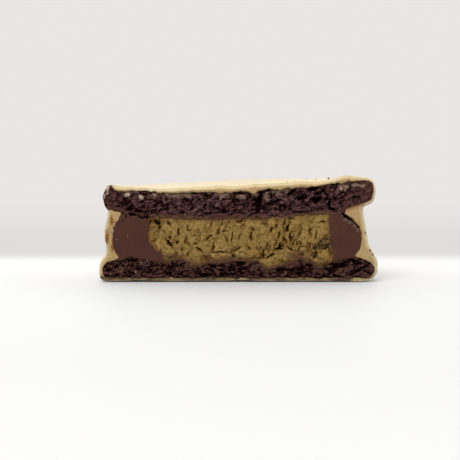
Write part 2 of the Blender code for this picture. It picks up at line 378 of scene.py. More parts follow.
def stains(x, y, z):
    """How much fat has stained a point: some spots, and a fringe along the layers."""
    gap = gap_to(x, z, coat_inside[:, 0])
    under_biscuit = smoothstep(*UNDER_BISCUIT, x) * smoothstep(*BISCUIT_LOW, z)
    on_rim = smoothstep(*ON_RIM, z)
    wide = 0.6 + 0.35 * under_biscuit * (1 - on_rim) - 0.3 * on_rim
    fringe = 0.85 * (1 - smoothstep(0.05, wide, gap + 0.15 * grain(1.2, x, 32, z)))
    fringe *= under_biscuit + 0.85 * smoothstep(8, 11, z) * (z < 16)
    left_gap = gap_to(x, z, coat_inside[:, -1])
    left_fringe = 0.7 * (1 - smoothstep(0, 0.45, left_gap + 0.15 * grain(1.2, x, 34, z)))
    left_fringe *= smoothstep(6, 8, z) * (1 - smoothstep(13, 15.5, z))
    fringe = np.where(x > 0, fringe, left_fringe)
    return np.maximum(patches(x, z, COAT_STAINS), fringe) * (1 - smoothstep(0.4, 0.8, y))


def painted_rim_highlight(x, y, z):
    """How much painted highlight lies on a point of the cut: a paler rim near the coat's outside,
    strongest on the right.
    """
    gap = gap_to(x, z, coat_outside[:, 0], coat_outside[:, -1])
    right = (x > 25) * (1 - smoothstep(22.8, 23.6, z))
    near = 1 - smoothstep(0.1, 0.9 + 0.4 * right, gap)
    on_cut = 1 - smoothstep(0.3, 0.5 + 1.5 * right, y)
    return (0.75 + 0.25 * right) * near * on_cut * smoothstep(1.2, 2.0, z)


# pale is a painted highlight along the outer rim of the cut, strongest on the right.
tag(coat_mesh, stain=stains, pale=painted_rim_highlight, cocoa=cocoa_and_painted_shade)


def node_maker(tree):
    """A function that adds a node to this tree. A keyword sets a property, and inputs is a dict
    of socket names or numbers to a value or to the socket that feeds it."""
    def add(kind, inputs=None, **settings):
        made = tree.nodes.new(kind)
        for name, value in settings.items():
            setattr(made, name, value)
        for name, value in (inputs or {}).items():
            if isinstance(value, bpy.types.NodeSocket):
                tree.links.new(value, made.inputs[name])
            else:
                made.inputs[name].default_value = value
        return made
    return add


def reckon(add, operation, one, other=0.0, **settings):
    """One number worked out from one or two others, as a socket."""
    made = add("ShaderNodeMath", {0: one, 1: other}, operation=operation, **settings)
    return made.outputs[0]


def rise(add, value, low, high, shape="SMOOTHSTEP"):
    """0 where the value is low, 1 where it is high and a rise of this shape between them."""
    inputs = {"Value": value, "From Min": low, "From Max": high}
    return add("ShaderNodeMapRange", inputs, interpolation_type=shape).outputs[0]


def place_of(add, kind="Object"):
    """A point's place, and the three numbers that it is made of."""
    place = add("ShaderNodeTexCoord").outputs[kind]
    return place, add("ShaderNodeSeparateXYZ", {0: place}).outputs


def group(name, output, **inputs):
    """A shader node group with one output and these number inputs, and a maker of its nodes."""
    tree = bpy.data.node_groups.new(name, "ShaderNodeTree")
    for label, value in inputs.items():
        socket = tree.interface.new_socket(label, in_out="INPUT", socket_type="NodeSocketFloat")
        socket.default_value = value
    tree.interface.new_socket(output, in_out="OUTPUT", socket_type="NodeSocketFloat")
    return tree, tree.nodes.new("NodeGroupInput").outputs, node_maker(tree)


def give(tree, socket):
    """Makes this socket the group's output."""
    tree.links.new(socket, tree.nodes.new("NodeGroupOutput").inputs[0])
    return tree


def cut_depth_group():
    """How deep a point lies behind the cut: 0 at the cut and 1 at the full depth or deeper."""
    tree, given, add = group("depth_behind_cut", "depth", full_depth_mm=1.0)
    _, parts = place_of(add)
    behind = reckon(add, "DIVIDE", reckon(add, "SUBTRACT", parts["Y"], CUT), MM)
    return give(tree, reckon(add, "DIVIDE", behind, given["full_depth_mm"], use_clamp=True))


def specks_group():
    """Scattered round specks: 1 inside a speck and 0 outside. Only some of the cells hold one."""
    tree, given, add = group("specks", "specks", spacing_mm=2.0, size=0.2, share=0.5)
    scale = reckon(add, "DIVIDE", 1 / MM, given["spacing_mm"])
    cells = add("ShaderNodeTexVoronoi", {"Vector": place_of(add)[0], "Scale": scale}).outputs
    near = reckon(add, "LESS_THAN", cells["Distance"], given["size"])
    draw = add("ShaderNodeSeparateColor", {0: cells["Color"]}).outputs[0]
    return give(tree, reckon(add, "MULTIPLY", near, reckon(add, "LESS_THAN", draw, given["share"])))


def clouds_group():
    """Soft noise, 0 up to its low level and 1 from its high one."""
    tree, given, add = group("clouds", "clouds", size_mm=1.0, detail=3.0, low=0.3, high=0.7)
    inputs = {
        "Vector": place_of(add)[0], "Scale": reckon(add, "DIVIDE", 1 / MM, given["size_mm"]),
        "Detail": given["detail"], "Roughness": 0.6,
    }
    cloud = add("ShaderNodeTexNoise", inputs).outputs[0]
    return give(tree, rise(add, cloud, given["low"], given["high"]))


CUT_DEPTH, SPECKS, CLOUDS = cut_depth_group(), specks_group(), clouds_group()


def masks(add, tree, **values):
    """One of the groups above with its own values, as a socket."""
    return add("ShaderNodeGroup", values, node_tree=tree).outputs[0]


def mixed(add, share, one, other):
    """The colour that lies this share of the way from one colour to the other."""
    def full(colour):
        return (*colour, 1) if isinstance(colour, tuple) else colour
    made = add("ShaderNodeMix", {0: share, 6: full(one), 7: full(other)}, data_type="RGBA")
    return made.outputs[2]


def tinted(add, colour, *tints):
    """A colour with others laid over it in turn, each with its mask or with the name of its tag."""
    for where, tint in tints:
        if isinstance(where, str):
            where = add("ShaderNodeAttribute", attribute_name=where).outputs["Fac"]
        colour = mixed(add, where, colour, tint)
    return colour


def shader(name, roughness, specular):
    """A new material with these values on its surface, and a maker of its nodes."""
    made = bpy.data.materials.new(name)
    made.use_nodes = True
    surface = made.node_tree.nodes["Principled BSDF"]
    surface.inputs["Roughness"].default_value = roughness
    surface.inputs["Specular IOR Level"].default_value = specular
    return made, node_maker(made.node_tree)


def finish(made, add, colour, height, strength, depth_mm):
    """The material, with its colour and with bumps of this height, strength and depth."""
    bump = {"Height": height, "Strength": strength, "Distance": depth_mm * MM}
    surface = made.node_tree.nodes["Principled BSDF"]
    made.node_tree.links.new(colour, surface.inputs["Base Color"])
    made.node_tree.links.new(add("ShaderNodeBump", bump).outputs[0], surface.inputs["Normal"])
    return made


OUTSIDE_COLOURS = (0.58, 0.45, 0.198), (0.655, 0.525, 0.248)     # its deepest and palest tone
CUT_COLOURS = (0.63, 0.405, 0.16), (0.8, 0.54, 0.25)
# The second colour on the next line is a painted highlight along the outer rim of the cut.
CUT_EDGE_COLOUR, RIM_HIGHLIGHT_COLOUR = (0.79, 0.595, 0.26), (0.98, 0.84, 0.56)
# The second colour on the next line is painted shade along the base's front edge, and cocoa with
# painted shade where the coat meets the crumb.
FAT_COLOUR, COCOA_AND_SHADE_COLOUR = (0.36, 0.15, 0.035), (0.115, 0.06, 0.036)
SPECK_COLOUR = (0.16, 0.07, 0.03)


def coat_finish():
    """Satin chocolate outside, with a warmer matt cut face, a few cocoa specks, a painted highlight
    along the cut's outer rim and painted shade along the base.
    """
    made, add = shader("pistachio_coat", 0.34, 0.5)
    skin = mixed(add, masks(add, CLOUDS, size_mm=9.0, detail=2.0), *OUTSIDE_COLOURS)
    face = mixed(add, masks(add, CLOUDS, size_mm=0.9, detail=4.0), *CUT_COLOURS)
    rim = mixed(add, masks(add, CUT_DEPTH, full_depth_mm=2.0), CUT_EDGE_COLOUR, skin)
    # pale lays a painted highlight on the outer rim of the cut.
    colour = tinted(
        add, mixed(add, masks(add, CUT_DEPTH, full_depth_mm=0.4), face, rim),
        # cocoa lays painted shade on the base's front edge, and cocoa with painted shade where the
        # coat meets the crumb
        ("pale", RIM_HIGHLIGHT_COLOUR), ("cocoa", COCOA_AND_SHADE_COLOUR), ("stain", FAT_COLOUR),
        (masks(add, SPECKS, spacing_mm=5.0, size=0.055, share=0.35), SPECK_COLOUR),
    )
    set_grain = masks(add, CLOUDS, size_mm=1.6, detail=3.0)
    pinholes = masks(add, SPECKS, spacing_mm=2.4, size=0.05, share=0.3)
    return finish(made, add, colour, reckon(add, "SUBTRACT", set_grain, pinholes), 0.2, 0.2)


layer("coat", coat_mesh, coat_finish(), "coat", "coating")


# --- Top biscuit --------------------------------------------------------------------------------
# A soft cocoa biscuit that the filling has bent into a shallow dish. The knife broke its crumb
# open, pressed the lower edge smooth and dragged thin films of coat down over the upper one.

TOP_SEAM = [
    (-29.4, 17.0), (-27.2, 16.5), (-23, 16.0), (-19.6, 15.5), (-17, 15.3), (-9, 14.8),
    (-5.5, 14.8), (0, 15.1), (5, 15.2), (10, 15.25), (14.5, 15.7), (17, 16.1), (21, 16.2),
    (24.4, 16.3), (25.3, 17.1),
]
LAYER_RIM = 1.0                 # how far a layer's hidden edge lies behind the cut
TUCK = 0.7                      # how much smaller a layer is away from the cut, under the coat
UNDER = 0.35                    # how far a layer reaches under its neighbour
UNDER_THIN = 0.15               # the same where the neighbour is the thin coat of the rim
MIRROR = (-1, 1)                # turns (x, z) into (radius, height) on the left, and back
CLUMP, PIECE = (1.2, 0.75), (0.5, 0.85)     # the crumb's two sizes, and how flat each is
FALLEN_OUT = (0.8, 0.86)        # the share of them that left a hole starts between these
CREVICES = [(2.2, 0.17, 7, 0.5), (0.95, 0.14, 9, 0.25)]     # spacing, width, pattern and depth
CRUMB_COARSER = (-4, 8)         # between these places along the cut the crumb becomes coarser


def grown(line, by):
    """A line moved sideways, to its right as it runs. by is one distance, or one for each point."""
    ahead = np.gradient(line, axis=0)
    ahead /= np.linalg.norm(ahead, axis=1, keepdims=True)
    return line + np.stack([ahead[:, 1], -ahead[:, 0]], 1) * np.reshape(by, (-1, 1))


def spread(low, right, high, left):
    """A grid of (x, z) between four edges: low and high run rightwards, left and right upwards."""
    u = np.linspace(0, 1, len(low))[None, :, None]
    v = np.linspace(0, 1, len(left))[:, None, None]
    right, left = (
        side + (1 - v[:, 0]) * (low[at] - side[0]) + v[:, 0] * (high[at] - side[-1])
        for side, at in ((right, -1), (left, 0))
    )
    sides = (1 - v) * low[None] + v * high[None] + (1 - u) * left[:, None] + u * right[:, None]
    corners = (
        (1 - u) * (1 - v) * low[0] + u * (1 - v) * low[-1]
        + (1 - u) * v * high[0] + u * v * high[-1]
    )
    return sides - corners


def cut_face(grid, relief, rolls):
    """The points of a cut face: the relief, rolled back to the layer's rim at its four edges.

    rolls are the widths of the rolled strips at the low, right, high and left edge.
    """
    up, along = (
        np.cumsum(np.linalg.norm(np.diff(grid, axis=axis, prepend=first), axis=-1), axis)
        for axis, first in ((0, grid[:1]), (1, grid[:, :1]))
    )
    inside = 1
    for roll, distance in zip(rolls, (up, along[:, -1:] - along, up[-1:] - up, along)):
        inside = inside * smoothstep(0, roll, distance)
    depth = np.maximum(relief, 0.01) * inside + LAYER_RIM * (1 - inside)
    return np.stack([grid[..., 0], depth, grid[..., 1]], -1)


def tucked(outline, angle, centre, bare=0.0):
    """An outline of (radius, height) that shrinks towards its centre as it leaves the cut.

    bare is the angle up to which it keeps its full size.
    """
    leaving = smoothstep(bare, bare + 0.1, np.minimum(angle, math.pi - angle))
    half_size = np.abs(outline - centre).max(0)
    small = centre + (outline - centre) * (1 - TUCK / half_size)
    return outline[:, None] + (small - outline)[:, None] * leaving[:, None]


def disc_layer(name, grid, relief, rolls, bare=0.0):
    """A layer that fills its whole disc: the cut face and the skin turned from its outline.

    The skin closes in a point at both ends of the face's middle column. bare is the angle that
    its left end shows past the cut.
    """
    middle = grid.shape[1] // 2
    grid[[0, -1], middle, 0] = 0
    right = np.vstack([grid[0, middle:], grid[1:-1, -1], grid[-1, middle:][::-1]])
    left = np.vstack([grid[0, :middle + 1][::-1], grid[1:-1, 0], grid[-1, :middle + 1]])
    angle = angles(HIDDEN_COLUMNS)
    right = tucked(right, angle, np.array([0, right[:, 1].mean()]))
    left = tucked(left * MIRROR, angle, np.array([0, left[:, 1].mean()]), bare)
    for side in (right, left):
        side[[0, -1]] = side[[0, -1], :1]
    skin = turned(right, left, angle, LAYER_RIM)
    x, y, z = np.moveaxis(skin, -1, 0)
    if bare:
        rough = smoothstep(0, 0.6, y - LAYER_RIM) * (1 - smoothstep(3, 6, y))
        skin[..., 0] *= 1 + 0.012 * rough * grain(1.1, x, y, z)
    return closed_mesh(name, [net(cut_face(grid, relief, rolls)), net(skin)])


def above(seam, x, z):
    """How far a point of the cut stands above a seam."""
    return z - np.interp(x, *np.array(seam).T)


def both_halves(left, right, count):
    """A line from the left end to the right, with its middle point at x = 0. Each half comes as
    the parts that it is made of."""
    half = count // 2 + 1
    return np.vstack([evenly(np.vstack(left), half)[:-1], evenly(np.vstack(right), half)])


def split_at_middle(line):
    """The part of a line left of x = 0 and the part right of it, both with the point there."""
    middle = [0, np.interp(0, *line.T)]
    return np.vstack([line[line[:, 0] < 0], middle]), np.vstack([middle, line[line[:, 0] > 0]])


def ragged(line, amount, size, seed):
    """A line whose points wander sideways by up to about this amount."""
    return grown(line, amount * grain(size, line[:, 0], seed, line[:, 1]))


def gouges(x, z, marks, wall=(0.6, 1.1)):
    """Depth of single holes and tears. Each mark is x, z, half its length, half its width, how
    many degrees it leans from level, and its depth. wall says where its side starts and ends."""
    depth = np.zeros(np.shape(x))
    bend_x = x + 0.25 * grain(0.8, x, 11, z, 2)
    bend_z = z + 0.25 * grain(0.8, x, 17, z, 2)
    torn_edge = 0.35 * grain(0.45, x, 19, z, 2)
    for at_x, at_z, length, width, lean, deep in marks:
        turn = math.radians(lean)
        dx, dz = bend_x - at_x, bend_z - at_z
        along = (dx * math.cos(turn) + dz * math.sin(turn)) / length
        across = (dz * math.cos(turn) - dx * math.sin(turn)) / width
        depth = np.maximum(depth, deep * (1 - smoothstep(*wall, np.hypot(along, across) + torn_edge)))
    return depth


def scattered(seed, count, *limits):
    """Marks for gouges, at random. Each of their six numbers is drawn between two limits."""
    low, high = np.array(limits, float).T
    return np.random.default_rng(seed).uniform(low, high, (count, len(limits)))


def clumps(x, z, size, flat, seed):
    """Broken crumb of one size: a draw from 0 to 1 for each clump, and how near its edge is."""
    places = zip(np.ravel(x / size), np.ravel(z / (size * flat)))
    found = [noise.voronoi((across, seed, up)) for across, up in places]
    gap = np.array([distances[1] - distances[0] for distances, _ in found]).reshape(x.shape)
    draw = np.array([noise.cell(nearest[0] * 91.7) for _, nearest in found]).reshape(x.shape)
    return (draw + 1) / 2, 1 - smoothstep(0, 0.45, gap)


def crumb(x, z, seed):
    """Relief of broken biscuit: clumps parted by winding crevices on two scales, and hollows."""
    def crevices(size, width, at):
        field = grain(size, x / 1.35, seed + at, z)
        return (1 - np.minimum(np.abs(field) / width, 1)) ** 1.3

    coarse = 1 + 0.3 * smoothstep(*CRUMB_COARSER, x)
    x, z = x / coarse, z / coarse
    bend_x = x + 0.5 * grain(1.2, x, seed, z)
    bend_z = z + 0.5 * grain(1.2, x, seed + 5, z)
    middle, middle_edge = clumps(bend_x, bend_z, *CLUMP, seed + 1)
    small, small_edge = clumps(bend_x, bend_z, *PIECE, seed + 2)
    relief = 0.05 + 0.14 * middle + 0.12 * middle_edge + 0.09 * small + 0.09 * small_edge
    loose = grain(3, x, seed + 3, z, 2)
    for draw, uneven in ((middle, 0.15), (small, 0.1)):
        relief += 0.5 * smoothstep(*FALLEN_OUT, draw + uneven * loose)
    relief += 0.5 * smoothstep(0.2, 0.5, grain(0.9, x / 1.2, seed + 11, z, 4))
    relief += sum(deep * crevices(size, width, at) for size, width, at, deep in CREVICES)
    hollows = smoothstep(0.38, 0.55, grain(1.7, x / 1.5, seed + 13, z))
    return relief + 0.45 * hollows + 0.05 * grain(0.25, x, seed, z, 2)


TOP_FILMS = [                   # x, z, half width and half height
    (-26.2, 20.6, 0.8, 0.5), (-23.0, 20.0, 0.7, 0.6), (-19.9, 20.7, 0.6, 0.6),
    (-15.4, 20.6, 2.1, 0.7), (-11.8, 20.8, 0.9, 0.7), (-4.2, 20.6, 2.2, 0.8), (3.8, 21.0, 0.8, 0.6),
    (0.6, 20.3, 1.0, 0.5), (6.7, 20.4, 0.9, 0.9), (10.0, 21.5, 2.0, 0.5), (24.9, 22.6, 1.3, 0.65),
    (27.5, 22.9, 0.9, 0.35), (29.2, 22.9, 0.7, 0.3),
]
TOP_HOLES = [                   # as gouges takes them
    (4.9, 18.6, 2.5, 0.75, 82, 2.0), (3.9, 19.6, 1.0, 0.5, 20, 1.6),
    (5.6, 21.3, 1.0, 0.35, 10, 1.2), (17.5, 22.0, 1.8, 0.4, 12, 1.8),
    (18.8, 19.7, 0.9, 0.6, 30, 2.0), (17.8, 19.2, 0.8, 0.5, -35, 1.8),
    (15.2, 20.2, 1.0, 0.45, -25, 1.8), (14.4, 19.8, 0.7, 0.4, 40, 1.6),
    (22.0, 17.4, 0.8, 0.4, 0, 1.6), (23.9, 18.6, 0.5, 0.3, 20, 1.2),
    (18.8, 21.0, 0.9, 0.4, 10, 1.6), (12.5, 21.3, 0.8, 0.45, 30, 1.6),
    (20.3, 21.3, 0.9, 0.3, -50, 1.6), (21.4, 18.4, 1.1, 0.42, 80, 1.7),
    (24.6, 20.2, 0.7, 0.25, 25, 1.0), (9.2, 19.3, 1.1, 0.4, 15, 1.6),
    (6.3, 16.4, 2.3, 0.16, 3, 0.8), (-10.0, 21.1, 0.8, 0.25, 0, 1.1),
    (-7.2, 20.3, 1.0, 0.5, -25, 1.2), (0.4, 21.0, 2.2, 0.3, 4, 1.1),
    (-26.3, 18.6, 0.9, 0.35, 30, 1.1), (-22.9, 19.1, 0.8, 0.35, -10, 1.1),
    (-25.8, 17.2, 1.1, 0.6, 5, 1.2), (-23.7, 16.9, 1.2, 0.45, -8, 1.1),
    (-25.0, 16.3, 0.8, 0.25, 0, 0.9), (-21.2, 15.8, 1.5, 0.25, -14, 1.2),
    (27.9, 20.2, 1.2, 0.27, 8, 1.2), (26.3, 22.3, 0.5, 0.25, 60, 1.1),
    (29.6, 21.2, 0.5, 0.2, 70, 0.8), (28.3, 21.6, 0.7, 0.16, 8, 0.8),
    (-4.6, 16.5, 1.6, 0.2, 8, 0.8), (10.6, 18.3, 1.0, 0.4, 40, 1.0),
]
TOP_CRACKS = [
    *scattered(1, 32, (-29, 26), (16.4, 22.6), (0.3, 1.2), (0.12, 0.3), (-50, 60), (0.6, 1.1)),
    *scattered(2, 22, (2, 25), (16.6, 22.8), (0.3, 1.1), (0.2, 0.4), (-40, 60), (0.8, 1.3)),
]
TOP_GRID = (700, 70)            # columns and rows of the cut face
TOP_ROLLS = (0.12, 0.15, 0.2, 0.5)
TOP_BREAK, CALM_BREAK, CALMER = 0.78, 0.25, (21, 24)    # how deep it broke, and where less deep
BARE_END = 0.07                 # the angle that the chip in the coat leaves bare
right_line = smooth_line([knot[2:] for knot in COAT_RIGHT])     # the inside of the coat
left_line = smooth_line([knot[2:] for knot in COAT_LEFT]) * MIRROR


def top_biscuit_grid():
    """The net of the cut face, with its ends along the inside of the coat."""
    seam_left, seam_right = split_at_middle(smooth_line(TOP_SEAM)[STEPS:-STEPS])
    low = both_halves(
        [left_line[14 * STEPS:16 * STEPS][::-1], seam_left],
        [seam_right, right_line[15 * STEPS:17 * STEPS]], TOP_GRID[0],
    )
    high = both_halves([left_line[20 * STEPS:]], [right_line[20 * STEPS:][::-1]], TOP_GRID[0])
    right = evenly(right_line[17 * STEPS:20 * STEPS], TOP_GRID[1])
    left = evenly(left_line[16 * STEPS:20 * STEPS], TOP_GRID[1])
    return spread(
        ragged(grown(low, 0.12), 0.2, 1.4, 71), ragged(grown(right, UNDER_THIN), 0.1, 1, 72),
        ragged(grown(high, -UNDER), 0.15, 1, 73), ragged(grown(left, -0.3), 0.25, 1.2, 74),
    )


def top_pressed(x, z):
    """How smooth the knife pressed a point, which is most along the seam."""
    ends = 0.55 * smoothstep(25, 28.5, x) + 0.45 * smoothstep(-28.3, -29.5, x)
    seam = 0.85 * (1 - smoothstep(0.2, 1.4, above(TOP_SEAM, x, z) + 0.9 * grain(4, x, 51, z / 0.6)))
    return np.maximum(ends, seam)


def top_relief(grid):
    """Broken crumb, calmer at the right-hand end, pressed smooth along the seam and filled a
    little by the films of coat."""
    x, z = np.moveaxis(grid, -1, 0)
    pressed = top_pressed(x, z)
    smooth = 0.14 + 0.07 * grain(1.2, x, 52, z)
    coarse = TOP_BREAK - CALM_BREAK * smoothstep(*CALMER, x)
    rough = np.maximum(coarse * crumb(x, z, 2), gouges(x, z, TOP_CRACKS))
    rough = rough * (1 - pressed) + smooth * pressed
    rough = np.maximum(rough, gouges(x, z, TOP_HOLES))
    film = 0.65 * patches(x, z, TOP_FILMS, 0.6)
    return rough * (1 - film) + film * (0.12 + 0.1 * grain(0.7, x, 53, z))


top_grid = top_biscuit_grid()
top_mesh = disc_layer("top_biscuit", top_grid, top_relief(top_grid), TOP_ROLLS, BARE_END)


def top_films(x, y, z):
    """How much coat is smeared over a point."""
    return patches(x, z, TOP_FILMS, 0.75) * (y < LAYER_RIM)


def top_cream(x, y, z):
    """How much cream is rubbed into a point, which is most along the seam."""
    gap = above(TOP_SEAM, x, z) + 0.7 * grain(1.8, x, 56, z)
    haze = 0.8 * (1 - smoothstep(-0.3, 1.0, gap))
    return haze * (x > -20.5) * (x < 22.5) * (y < LAYER_RIM)


# open marks the bare skin at the left end, which keeps the painted shade off it.
tag(
    top_mesh, film=top_films, cream=top_cream,
    pressed=lambda x, y, z: top_pressed(x, z) * (y < LAYER_RIM),
    open=lambda x, y, z: (y > LAYER_RIM + 0.01) * (x < -29.0) * 1.0,
)
CRUMB_COLOURS = (0.09, 0.033, 0.033), (0.31, 0.158, 0.155)
# The second colour on the next line is painted shade, laid on the deeper a point lies behind the cut.
DENSE_COLOUR, HOLLOW_PAINTED_SHADE = (0.15, 0.058, 0.056), (0.018, 0.002, 0.002)
PRESSED_COLOUR, CREAMY_COLOUR = (0.118, 0.045, 0.032), (0.22, 0.12, 0.06)
GRAIN_COLOUR, FILM_COLOUR = (0.38, 0.22, 0.19), (0.44, 0.28, 0.205)


def biscuit_finish():
    """Dark cocoa crumb, grainy and dull, with greyish films of coat and painted shade that turns its
    hollows nearly black, the deeper the darker.
    """
    made, add = shader("cocoa_biscuit", 0.7, 0.08)
    grains = masks(add, CLOUDS, size_mm=0.9, detail=5.0, low=0.32, high=0.68)
    deep = masks(add, CUT_DEPTH, full_depth_mm=1.05)
    outside = add("ShaderNodeAttribute", attribute_name="open").outputs["Fac"]
    colour = tinted(
        add, mixed(add, grains, *CRUMB_COLOURS),
        (reckon(add, "MULTIPLY", masks(add, CLOUDS, size_mm=3.5, detail=2.0), 0.6), DENSE_COLOUR),
        ("pressed", PRESSED_COLOUR), ("cream", CREAMY_COLOUR),
        (masks(add, SPECKS, spacing_mm=0.7, size=0.2, share=0.08), GRAIN_COLOUR),
        ("film", FILM_COLOUR),
        # painted shade in the hollows, darker the deeper behind the cut, but none on the bare skin
        # that open marks
        (reckon(add, "SUBTRACT", deep, outside, use_clamp=True), HOLLOW_PAINTED_SHADE),
    )
    return finish(made, add, colour, grains, 0.4, 0.1)


cocoa_biscuit = biscuit_finish()
layer("top_biscuit", top_mesh, cocoa_biscuit, "biscuit", "top_biscuit")


# --- Bottom biscuit -----------------------------------------------------------------------------
# The same biscuit under the filling. Cream and ganache have sunk into its broken upper edge.

BOTTOM_SEAM = [
    (-29.4, 5.2), (-28.3, 5.6), (-25.5, 6.2), (-22, 5.5), (-17.3, 4.9), (-13.7, 5.6),
    (-10.2, 4.1), (-5.5, 5.1), (0.4, 5.3), (4.2, 5.0), (7.0, 3.4), (10.0, 4.0), (14.5, 5.8),
    (17.2, 5.4), (19.6, 3.6), (22.5, 5.0), (26.2, 5.9), (27.8, 6.1), (29.0, 5.7),
]
BOTTOM_HOLES = [
    (-25.2, 5.2, 1.7, 0.4, 4, 1.4), (-23.8, 3.2, 1.0, 0.4, -20, 1.2),
    (-29.0, 3.6, 0.8, 0.4, 50, 1.1), (-16.0, 3.4, 1.2, 0.3, 10, 1.0),
    (-4.0, 2.8, 1.3, 0.25, -8, 0.9), (3.0, 3.9, 0.9, 0.25, 20, 0.8), (12.5, 3.0, 1.4, 0.3, 12, 1.0),
    (21.6, 3.0, 1.2, 0.35, -10, 1.2), (25.0, 4.6, 1.1, 0.35, 15, 1.3),
    (28.6, 2.9, 0.9, 0.45, 60, 1.3),
]
BOTTOM_WARM = [                 # x, z, half width and half height of each creamy spot
    (23.7, 2.9, 1.4, 0.8), (14.8, 1.9, 2.3, 0.5), (-2.5, 2.2, 1.0, 0.5), (-18.2, 3.4, 0.8, 0.6),
    (-27.9, 3.0, 0.7, 0.5), (2.5, 1.9, 1.2, 0.4),
]
BOTTOM_CRACKS = [
    *scattered(3, 35, (-31, 31), (1.4, 5.6), (0.3, 1.2), (0.12, 0.3), (-40, 50), (0.8, 1.7)),
    *scattered(4, 10, (14, 31), (1.4, 5.6), (0.3, 1.1), (0.2, 0.4), (-40, 50), (1.0, 1.8)),
]
BOTTOM_GRID = (700, 60)
BOTTOM_ROLLS = (0.5, 0.5, 0.2, 0.5)
BOTTOM_BREAK, DULLNESS = 0.85, 0.42     # how deep it broke, and how pressed it looks all over
UNDER_GANACHE = (18, 21)        # from this far along the cut it lies under the ganache


def bottom_biscuit_grid():
    """The net of the cut face, from the coat of the base up to the uneven seam."""
    seam_left, seam_right = split_at_middle(smooth_line(BOTTOM_SEAM)[STEPS:-STEPS])
    high = both_halves(
        [left_line[5 * STEPS:6 * STEPS], seam_left],
        [seam_right, right_line[5 * STEPS:6 * STEPS][::-1]], BOTTOM_GRID[0],
    )
    base = slice(0, 2 * STEPS + 1)
    low = both_halves([left_line[base][::-1]], [right_line[base]], BOTTOM_GRID[0])
    right = evenly(right_line[2 * STEPS:5 * STEPS], BOTTOM_GRID[1])
    left = evenly(left_line[2 * STEPS:5 * STEPS], BOTTOM_GRID[1])
    return spread(
        ragged(grown(low, UNDER), 0.3, 2.2, 75), ragged(grown(right, UNDER), 0.1, 1, 76),
        ragged(grown(high, -0.55), 0.15, 1.2, 77), ragged(grown(left, -UNDER), 0.1, 1.2, 78),
    )


def bottom_pressed(x, z):
    """How smooth a point is, where the filling was pressed into the upper edge."""
    under_ganache = smoothstep(*UNDER_GANACHE, np.abs(x))
    uneven = 1 - under_ganache * (1 - smoothstep(-0.2, 0.3, grain(5, x, 54, z)))
    gap = 0.9 * grain(1.8, x, 59, z) - above(BOTTOM_SEAM, x, z)
    return uneven * (1 - smoothstep(0.2, 1.3, gap))


def bottom_relief(grid):
    """Broken crumb, with the filling pressed smooth into its upper edge here and there."""
    x, z = np.moveaxis(grid, -1, 0)
    pressed = bottom_pressed(x, z)
    smooth = 0.24 + 0.08 * grain(1.2, x, 55, z) + 0.3 * smoothstep(0, 0.5, above(BOTTOM_SEAM, x, z))
    rough = np.maximum(BOTTOM_BREAK * crumb(x, z, 31), gouges(x, z, BOTTOM_CRACKS))
    rough = rough * (1 - pressed) + smooth * pressed
    return np.maximum(rough, gouges(x, z, BOTTOM_HOLES))


def bottom_cream(x, y, z):
    """How much cream is rubbed into a point of the upper edge."""
    gap = 0.8 * grain(1.8, x, 58, z) - above(BOTTOM_SEAM, x, z)
    haze = 0.85 * (1 - smoothstep(-0.3, 1.3, gap))
    haze = np.maximum(haze * (x > -20) * (x < 22.5), 0.08)
    return np.maximum(haze, 0.75 * patches(x, z, BOTTOM_WARM, 0.6)) * (y < LAYER_RIM)


bottom_grid = bottom_biscuit_grid()
bottom_mesh = disc_layer("bottom_biscuit", bottom_grid, bottom_relief(bottom_grid), BOTTOM_ROLLS)
tag(
    bottom_mesh, film=0, cream=bottom_cream, open=0,
    pressed=lambda x, y, z: np.maximum(bottom_pressed(x, z), DULLNESS),
)
layer("bottom_biscuit", bottom_mesh, cocoa_biscuit, "biscuit", "bottom_biscuit")


# --- Pistachio cream ----------------------------------------------------------------------------
# The core of the filling: stiff nut cream that the knife dragged down, which tore it into upright
# rents and small pits, and smeared it with cocoa along the biscuits.

